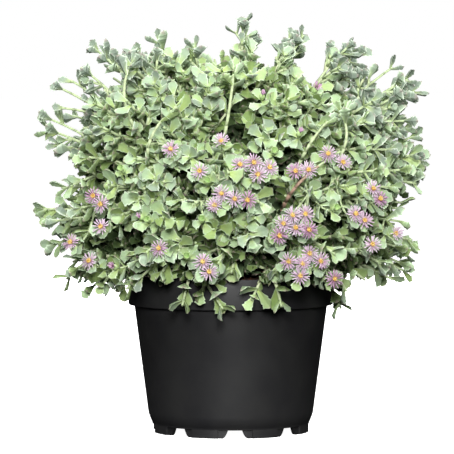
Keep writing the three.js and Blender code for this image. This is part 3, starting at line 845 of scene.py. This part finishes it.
def shoots_of(name):
    leader, *others = [Vector(at) for at in STEMS[name]]
    trails = name in TRAILS
    main = shoot_between(base_of(name, leader), leader, TRAIL_LIFT if trails else LEADER_LIFT)
    lift = TRAIL_FORK_LIFT if trails else FORK_LIFT
    forks = [shoot_between(on(main, FORKS_AT[k]), tip, lift) for k, tip in enumerate(others)]
    begin = on(main, SPRAYS_AT)
    sprays = [shoot_between(begin, Vector(tip), lift) for tip in SPRAYS.get(name, [])]
    return [main, *forks, *sprays]


def open_shoots_of(name):
    """Each passes the place where it comes out at half its length."""
    main = shoots_of(name)[0]
    begin = on(main, SPRAYS_AT)
    return [
        (order, (begin, Vector(out) * 2 - (begin + Vector(tip)) / 2, Vector(tip)))
        for order, out, tip in OPEN_SHOOTS.get(name, [])
    ]


BOX_MARGIN = 1
POT_REACH = 98
POT_HEIGHT = 149
FLOWER_NEAR = 30
OPEN_SHARE = 0.7
OPEN_DEPTH = 5
open_runs = [(Vector(out), Vector(tip)) for bare in OPEN_SHOOTS.values() for _, out, tip in bare]
flower_seats = [(at / MM, facing) for places in seats.values() for at, facing in places]
box_low = [side / MM + BOX_MARGIN for side in cad_box[0]]
box_high = [side / MM - BOX_MARGIN for side in cad_box[1]]


def is_free(at, margin):
    """Whether a leaf may reach here: inside the bush's limits, off pot, flowers and bare shoots."""
    if any(at[k] < box_low[k] or at[k] > box_high[k] for k in range(3)):
        return False
    if hypot(at.x, at.y) < POT_REACH and at.z < POT_HEIGHT or in_outline_gap(at):
        return False
    for seat, facing in flower_seats:
        away = at - seat
        if away.length < FLOWER_NEAR:
            ahead = away.dot(facing)
            if ahead > -2 and (away - facing * ahead).length < margin:
                return False
    for out, tip in open_runs:
        run, away = (tip - out).xz, (at - out).xz
        share = away.dot(run) / run.length_squared
        if 0 < share < OPEN_SHARE and at.y < out.lerp(tip, share).y + OPEN_DEPTH:
            if (away - run * share).length < OPEN_WIDTH:
                return False
    return True


# Gaps between the outer shoots, as seen from the front: each one's middle and radius
OUTLINE_GAPS = [
    (-181, 184, 8), (-166, 212, 6), (-148, 208, 4), (-161, 244, 11), (-154, 280, 9),
    (-145, 281, 7), (-141, 229, 5), (-148, 308, 11), (-122, 331, 9), (-108, 327, 6),
    (-149, 330, 5), (-132, 343, 6), (-143, 339, 4), (-77, 358, 5), (-94, 368, 9), (-105, 362, 7),
    (-54, 361, 8), (-48, 374, 10), (-11, 340, 6), (-20, 351, 7), (-17, 368, 8), (4, 366, 6),
    (-5, 361, 5), (28, 352, 6), (36, 343, 5), (35, 354, 7), (37, 370, 8), (79, 335, 13),
    (86, 327, 7), (79, 351, 9), (80, 368, 9), (100, 361, 6), (120, 368, 7), (130, 342, 5),
    (144, 321, 6), (140, 329, 9), (138, 346, 6), (171, 296, 6), (179, 290, 7), (176, 277, 5),
    (161, 205, 6), (162, 184, 5), (180, 190, 7), (168, 197, 7), (152, 134, 7), (121, 144, 5),
    (117, 132, 8),
]


def in_outline_gap(at):
    return any(hypot(at.x - x, at.z - z) < radius for x, z, radius in OUTLINE_GAPS)


# How far out leaves begin, take their full form, and lose their painted shade
BARE_DEPTH = 0.12
INNER_DEPTH = 0.6
SHADE_DEPTH = 0.80
# Where painted shade darkens the high outer leaves: how far out, from what height, and over what
# rise it grows
TOP_SHADE_DEPTH = 0.68
TOP_SHADE_HEIGHT = 230
TOP_SHADE_RANGE = 55


def depth_of(at):
    """How far out a place lies: 0 in the middle of the bush and 1 on its outline."""
    return Vector((at.x / BUSH_WIDTH, at.y / BUSH_DEPTH, (at.z - BUSH_CENTRE_Z) / BUSH_RISE)).length


def painted_top_shade(at):
    """Painted shade: the high outer leaves, which the lamps light most, get a darker grey tint."""
    outwards = hypot(at.x / BUSH_WIDTH, (at.z - BUSH_CENTRE_Z) / BUSH_RISE)
    return max(0, outwards - TOP_SHADE_DEPTH) * max(0, at.z - TOP_SHADE_HEIGHT) / TOP_SHADE_RANGE


# How much room a leaf needs at its tip and at its middle
LEAF_ROOM = ((LEAF_LENGTH, 10), (8, 9))
LEAF_WIDTHS = (0.88, 1.12)


def leaf(bm, at, axis, out, opening, size, tint, shapes, draw):
    ahead = axis * cos(opening) + out * sin(opening)
    if depth_of(at) < BARE_DEPTH:
        return
    if not all(is_free(at + ahead * reach * size, room) for reach, room in LEAF_ROOM):
        return
    if depth_of(at) < INNER_DEPTH:
        shapes = inner_leaves
    wide = axis.cross(out)
    face = ahead.cross(wide)
    turn = Matrix((wide, face, ahead)).transposed().to_4x4()
    width = size * draw.uniform(*LEAF_WIDTHS)
    place = Matrix.Translation(at * MM) @ turn @ Matrix.Diagonal((width, width, size, 1))
    put(bm, draw.choice(shapes), place, tint)


def twig_between(bm, low, high, radius, age, lap=0.4):
    ahead = high - low
    turn = ahead.to_track_quat("Z", "Y").to_matrix().to_4x4()
    size = Matrix.Diagonal((radius * MM, radius * MM, (ahead.length + lap) * MM, 1))
    put(bm, twig, Matrix.Translation(low * MM) @ turn @ size, age, BARK)


# Joints of a shoot, from its tip: the gap to the last joint, the size of its leaves and how far
# they open. The last row repeats down the shoot.
MAIN_JOINTS = [
    (5, 0.84, 36), (9, 1.1, 55), (15, 1.14, 62), (19, 1.16, 66), (17, 1.16, 70), (15, 1.1, 70),
]
SIDE_JOINTS = [(5, 0.76, 34), (9, 1.0, 54), (14, 1.06, 64), (13, 1.06, 68)]
JOINT_SPACING = (0.85, 1.15)
JOINT_TURN = 0.2
# No leaf turns straight back to the heart of the bush
HEART = Vector((0, 0, 150))
INWARDS = -0.75
LEAF_SIZES = (0.85, 1.14)
LEAF_OPENING = 10
SHOOT_TONE = (0.64, 0.08)
LEAF_TONE = 0.15
SHADE = 4.2
# How far the shoots in the joints reach. Near the outline some of them are left out.
YOUNG_REACH = (8, 15)
SIDE_REACH = (16, 42)
TUFT_REACH = (7, 10)
TUFT_CHANCE = 0.35
OUTER_DEPTH = 0.93
SPARED_CHANCE = 0.6
# A shoot's bark, from 0 when green to 1 when woody
LEAFY_AGE = 0.5
YOUNG_AGE = 0.15
AGE_FALL = 0.4
BARE_STEP = 14


def grow(bm, shoot, order, radius, bare, draw):
    """A shoot with its leaves, bare at its start. Side shoots and tufts grow in its joints."""
    length = length_of(shoot)
    rows = MAIN_JOINTS if order == MAIN_SHOOT else SIDE_JOINTS
    turn = draw.uniform(0, pi)
    tone = draw.gauss(*SHOOT_TONE)
    behind = 0
    count = 0
    last = on(shoot, 1 - 2 / length)
    across = UP.cross(shoot[2] - shoot[0]).normalized()
    while True:
        gap, size, opening = rows[min(count, len(rows) - 1)]
        behind += gap * draw.uniform(*JOINT_SPACING)
        if length - behind < bare:
            break
        along = 1 - behind / length
        at = on(shoot, along)
        axis = heading(shoot, along)
        other = axis.cross(across)
        thick = TIP_RADIUS + (radius - TIP_RADIUS) * (1 - along)
        twig_between(bm, at, last, thick, LEAFY_AGE * (1 - along))
        last = at
        turn += pi / 2 + draw.uniform(-JOINT_TURN, JOINT_TURN)
        for side in (0, pi):
            out = across * cos(turn + side) + other * sin(turn + side)
            if out.dot((at - HEART).normalized()) < INWARDS:
                continue
            spread = radians(opening + draw.uniform(-LEAF_OPENING, LEAF_OPENING))
            # Painted shade: leaves deep inside the bush get a darker tint
            shade = SHADE * min(0, depth_of(at) - SHADE_DEPTH)
            tint = within(0, draw.gauss(tone, LEAF_TONE) + shade + painted_top_shade(at), 1)
            shapes = small_leaves if order or count < 2 else large_leaves
            leaf(bm, at, axis, out, spread, size * draw.uniform(*LEAF_SIZES), tint, shapes, draw)
            if order == MAIN_SHOOT and count >= 2:
                if depth_of(at) > OUTER_DEPTH and draw.random() < SPARED_CHANCE:
                    continue
                reach = draw.uniform(*(YOUNG_REACH if count == 2 else SIDE_REACH))
                side_shoot(bm, at, axis, out, reach, SIDE_SHOOT, draw)
            elif order == SIDE_SHOOT and count >= 1 and draw.random() < TUFT_CHANCE:
                side_shoot(bm, at, axis, out, draw.uniform(*TUFT_REACH), TUFT, draw)
        count += 1
    start = length - behind + gap
    steps = max(1, round(start / BARE_STEP))
    for step in range(steps):
        low = on(shoot, start / length * step / steps)
        high = on(shoot, start / length * (step + 1) / steps) if step < steps - 1 else last
        share = start / length * step / steps
        age = 1 - AGE_FALL * step / steps if order == MAIN_SHOOT else YOUNG_AGE
        twig_between(bm, low, high, TIP_RADIUS + (radius - TIP_RADIUS) * (1 - share), age)


YOUNG_RADIUS = 1.4
YOUNG_ROOM = 11
# How a young shoot leans from its stem, in degrees, and turns to the light
YOUNG_LEAN = (34, 60)
LIGHT_FROM = Vector((0, 0, 170))
OUT_TO_LIGHT = 0.25
UP_TO_LIGHT = 0.12


def side_shoot(bm, at, axis, out, reach, order, draw):
    lean = radians(draw.uniform(*YOUNG_LEAN))
    away = (at - LIGHT_FROM).normalized()
    ahead = axis * cos(lean) + out * sin(lean) + away * OUT_TO_LIGHT + UP * UP_TO_LIGHT
    ahead.normalize()
    tip = at + ahead * reach
    if ahead.dot(away) < 0 or not is_free(tip, YOUNG_ROOM) or depth_of(tip) < BARE_DEPTH:
        return
    bend = at + (ahead + out * 0.25).normalized() * 0.5 * reach
    grow(bm, (at, bend, tip), order, YOUNG_RADIUS, bare=3, draw=draw)


# Young shoots rise from the foot of each stem and hide its bare beginning. Those of the low
# stems stay low and cover the rim. Here are their number and how far they rise.
SUCKERS = (9, (6, 50))
LOW_SUCKERS = (14, (6, 34))
LOW_STEM = 215
SUCKER_STARTS = (0.02, 0.16)
SUCKER_OUT = (4, 40)
SUCKER_ASIDE = 38
SUCKER_LIFT = 7


def suckers(bm, main, draw):
    foot = main[0]
    outwards = Vector((foot.x, foot.y, 0)).normalized()
    sideways = UP.cross(outwards)
    count, rise = LOW_SUCKERS if main[2].z < LOW_STEM else SUCKERS
    for _ in range(count):
        start = on(main, draw.uniform(*SUCKER_STARTS))
        out = outwards * draw.uniform(*SUCKER_OUT)
        aside = sideways * draw.uniform(-SUCKER_ASIDE, SUCKER_ASIDE)
        tip = start + (out + aside) + UP * draw.uniform(*rise)
        if is_free(tip, YOUNG_ROOM):
            bend = start.lerp(tip, 0.4) + UP * SUCKER_LIFT
            grow(bm, (start, bend, tip), SIDE_SHOOT, YOUNG_RADIUS, bare=4, draw=draw)


# Where flower stalks start on a shoot: between two distances from its tip, off its bare foot
STALK_FROM_TIP = (44, 11)
STALK_PLACES = (0.15, 0.5, 0.85)
BARE_SHARE = 0.3
# How far behind its flower a stalk bends and ends, and its pairs of leaves
STALK_BEND = 26
STALK_END = 3
STALK_STEPS = 5
STALK_PAIRS = (0.35, 0.62, 0.84)
STALK_OPENING = radians(58)
STALK_SIZES = (0.6, 0.9)
STALK_TONES = (0.45, 0.8)


def stalk_starts(shoot):
    low, high = (on(shoot, max(BARE_SHARE, 1 - gap / length_of(shoot))) for gap in STALK_FROM_TIP)
    return [low.lerp(high, share) for share in STALK_PLACES]


def stalk(bm, start, at, facing, draw):
    """A flower's stalk rises behind it and enters its cup from below, with a few leaves."""
    way = (start, at - facing * STALK_BEND, at - facing * STALK_END)
    joints = [on(way, step / STALK_STEPS) for step in range(STALK_STEPS + 1)]
    for low, high in zip(joints, joints[1:]):
        twig_between(bm, low, high, radius=1.0, age=0.05)
    turn = draw.uniform(0, pi)
    for along in STALK_PAIRS:
        axis = heading(way, along)
        across = axis.orthogonal().normalized()
        other = axis.cross(across)
        turn += pi / 2
        for side in (0, pi):
            out = across * cos(turn + side) + other * sin(turn + side)
            size = draw.uniform(*STALK_SIZES)
            tint = draw.uniform(*STALK_TONES)
            leaf(bm, on(way, along), axis, out, STALK_OPENING, size, tint, small_leaves, draw)


# Where buds and empty calyces are seen, across and up, at the front (-1) and at the back (1)
SMALL_HEADS = [
    ("bud", -1, [(76, 318), (28, 312), (61, 279), (-80, 205), (-104, 160)]),
    ("bud", 1, [(-60, 250), (50, 270), (-30, 190)]),
    (
        "calyx", -1,
        [(-20, 236), (-25, 203), (-38, 170), (-73, 202), (38, 262), (92, 212), (-96, 246)],
    ),
    ("calyx", 1, [(-30, 240), (44, 200), (90, 250)]),
]
BUD_OPENNESS = (0.12, 0.3, 0.45)
# The rings of a bud's petals: their number, turn, lean when wide open, size and tone
BUD_PETALS = [(9, 0, WIDE_OPEN, 0.8, 0.85), (6, 0.3, radians(60), 0.75, 1.0)]
BUD_CUP = (1.15, 1.15, 1.2, 1)
LOBES = 5
LOBE_LEAN = 0.45
LOBE_SIZE = (0.36, 0.5, 0.42, 1)


def bud(bm, at, facing, openness, draw):
    """A closed flower: deep pink petals out of a green cup."""
    seat = facing_frame(at * MM, facing)
    for count, turn, lean, size, tone in BUD_PETALS:
        petal_ring(bm, seat, count, turn, lean * openness, size, tone, draw, PETAL)
    put(bm, cup, seat @ Matrix.Diagonal(BUD_CUP), 0.5, CUP)


def calyx(bm, at, facing):
    """What a fallen flower leaves: a green cup with five short fleshy lobes."""
    seat = facing_frame(at * MM, facing)
    put(bm, cup, seat, 0.5, CUP)
    for k in range(LOBES):
        turn = Matrix.Rotation(FULL_TURN * k / LOBES, 4, "Z")
        lobe = seat @ turn @ Matrix.Rotation(LOBE_LEAN, 4, "X")
        put(bm, small_leaves[0], lobe @ Matrix.Diagonal(LOBE_SIZE), 0.5, CUP)


leaf_green = finish_for("grey_green_leaf", roughness=0.7, specular=0.25)
leaf_tint = attribute(leaf_green, "tint")
leaf_along, leaf_edge, leaf_under = (attribute(leaf_green, name) for name in LEAF_NUMBERS)
# Leaf colour by tint: the leaves' own tones in the middle, and painted shade towards both ends, for
# leaves deep in the bush and for the high outer leaves
leaf_base = ramp(
    leaf_green, leaf_tint,
    [
        (0.0, (0.045, 0.075, 0.022)), (0.22, (0.20, 0.29, 0.09)), (0.42, (0.36, 0.47, 0.20)),
        (0.6, (0.38, 0.51, 0.30)), (0.8, (0.36, 0.46, 0.32)), (1.0, (0.25, 0.31, 0.24)),
    ],
)
mottled = ramp(
    leaf_green, grain(leaf_green, scale=260), [(0.3, (0.86, 0.90, 0.86)), (0.7, (1, 1, 1))]
)
speckled = mixed(leaf_green, 1, leaf_base, mottled, blend="MULTIPLY")
# Over the green lie a fresh heel, painted shade on the keel below, pale margins that carry a
# painted highlight, and a reddish tip: each by one number of the mesh, with its strength at two
# values of it, and its colours by the tint.
LEAF_LAYERS = [
    (leaf_along, (0.0, 0.85), (0.65, 0), [(0.0, (0.09, 0.13, 0.03)), (0.5, (0.40, 0.50, 0.15))]),
    # Painted shade on the keel, the underside of the leaf
    (
        leaf_under, (0.05, 0), (0.8, 0.85),
        [(0.0, (0.02, 0.035, 0.01)), (0.5, (0.14, 0.20, 0.08)), (1.0, (0.16, 0.20, 0.16))],
    ),
    # Pale margins: the leaf's own pale rim with a painted highlight over it
    (
        leaf_edge, (0.7, 0), (1.0, 0.9),
        [(0.0, (0.10, 0.15, 0.07)), (0.5, (0.53, 0.66, 0.45)), (1.0, (0.63, 0.71, 0.59))],
    ),
    (leaf_along, (0.90, 0), (1.0, 0.5), [(0.0, (0.36, 0.26, 0.25)), (1.0, (0.36, 0.26, 0.25))]),
]
leaf_colour = speckled
for number, low, high, tones in LEAF_LAYERS:
    share = ramp(leaf_green, number, [(at, (grey, grey, grey)) for at, grey in (low, high)])
    leaf_colour = mixed(leaf_green, share, leaf_colour, ramp(leaf_green, leaf_tint, tones))
colour(leaf_green, leaf_colour)
bumps(leaf_green, scale=700, detail=2, depth=0.0002)

stem_bark = finish_for("green_to_tan_stem", roughness=0.65)
bark = ramp(
    stem_bark, attribute(stem_bark, "tint"),
    [
        (0.0, (0.44, 0.56, 0.31)), (0.4, (0.48, 0.53, 0.33)),
        (0.75, (0.40, 0.27, 0.20)), (1.0, (0.16, 0.10, 0.07)),
    ],
)
streaks = ramp(
    stem_bark, grain(stem_bark, scale=300), [(0.3, (0.75, 0.72, 0.70)), (0.7, (1, 1, 1))]
)
streaked = mixed(stem_bark, 1, bark, streaks, blend="MULTIPLY")
colour(stem_bark, streaked)
bumps(stem_bark, scale=800, depth=0.0003)

shoots = {name: shoots_of(name) for name in STEMS}
starts = [
    (name, start)
    for name in STEMS if name not in TRAILS
    for shoot in shoots[name]
    for start in stalk_starts(shoot)
]
carried = {name: [] for name in STEMS}


def carry(kind, at, facing):
    """The nearest stem carries it, on a stalk from the nearest place."""
    carrier, start = min(starts, key=lambda place: (place[1] - at).length)
    carried[carrier].append((kind, start, at, facing))


for at, facing in flower_seats:
    carry("flower", at, facing)
for kind, way, places in SMALL_HEADS:
    for seen in places:
        at, facing = bloom_place(seen, way)
        carry(kind, at / MM, facing)

# How much of a stem's leader, of its forks and of an open shoot is bare
LEADER_BARE = 0.16
FORK_BARE = 0.06
OPEN_BARE = 0.8
OPEN_RADII = {MAIN_SHOOT: 2.3, SIDE_SHOOT: 2.0}
for number, name in enumerate(STEMS):
    draw = random.Random(100 + number)
    bm = bmesh.new()
    main = shoots[name][0]
    twig_between(bm, main[0] - UP * ROOT_DEPTH, main[0], STEM_RADIUS, 1)
    for k, shoot in enumerate(shoots[name]):
        bare = (FORK_BARE if k else LEADER_BARE) * length_of(shoot)
        grow(bm, shoot, MAIN_SHOOT, FORK_RADIUS if k else STEM_RADIUS, bare, draw)
    for order, shoot in open_shoots_of(name):
        grow(bm, shoot, order, OPEN_RADII[order], OPEN_BARE * length_of(shoot), draw)
    if name not in TRAILS:
        suckers(bm, main, draw)
    for kind, start, at, facing in carried[name]:
        stalk(bm, start, at, facing, draw)
        if kind == "bud":
            bud(bm, at, facing, draw.choice(BUD_OPENNESS), draw)
        elif kind == "calyx":
            calyx(bm, at, facing)
    piece = piece_from(bm, "leafy_stem_" + name, [leaf_green, stem_bark, cup_green, petal_pink])
    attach(piece, "root")
    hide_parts("stem_" + name)


# Stage: a plain white floor of backlit acrylic in a white room. The room's own light is dim, so
# that the pot's sides stay black, and soft lamps in front, at both sides and behind do the rest.
bm = bmesh.new()
bmesh.ops.create_grid(bm, x_segments=1, y_segments=1, size=60)
floor_white = finish_for("white_floor", roughness=0.9, specular=0.0)
set_input(floor_white, "Base Color", (0.9, 0.9, 0.9, 1))
set_input(floor_white, "Emission Color", (1, 1, 1, 1))
set_input(floor_white, "Emission Strength", 1.0)
floor = piece_from(bm, "floor", [floor_white])
floor.visible_glossy = False
floor.visible_diffuse = False

world = bpy.data.worlds.new("white_room")
world.use_nodes = True
scene.world = world
seen_room = world.node_tree.nodes["Background"]
room_light = add_node(world, "ShaderNodeBackground")
for light, strength in ((seen_room, 1.0), (room_light, 0.02)):
    light.inputs["Color"].default_value = (1, 1, 1, 1)
    light.inputs["Strength"].default_value = strength
ray = add_node(world, "ShaderNodeLightPath")
either = add_node(world, "ShaderNodeMixShader")
join(world, ray.outputs["Is Camera Ray"], either.inputs[0])
join(world, room_light.outputs[0], either.inputs[1])
join(world, seen_room.outputs[0], either.inputs[2])
join(world, either.outputs[0], world.node_tree.nodes["World Output"].inputs["Surface"])

# Each lamp's place, size and power. All aim at the middle of the object.
LAMP_AIM = Vector((0, 0, 0.2))
LAMPS = {
    "front_lamp": ((0.0, -2.4, 0.8), 0.6, 82),
    "key_lamp": ((0.0, -1.6, 1.8), 0.6, 37),
    "left_lamp": ((-1.7, 0.4, 2.4), 1.4, 42),
    "right_lamp": ((1.7, 0.4, 2.4), 1.4, 42),
    "back_lamp": ((0.0, 2.4, 1.0), 1.4, 72),
}
for name, (at, size, power) in LAMPS.items():
    lamp = bpy.data.lights.new(name, "AREA")
    lamp.shape = "DISK"
    lamp.size = size
    lamp.energy = power
    holder = bpy.data.objects.new(name, lamp)
    holder.location = at
    holder.rotation_euler = (LAMP_AIM - Vector(at)).to_track_quat("-Z", "Y").to_euler()
    scene.collection.objects.link(holder)
scene.view_settings.view_transform = "Standard"
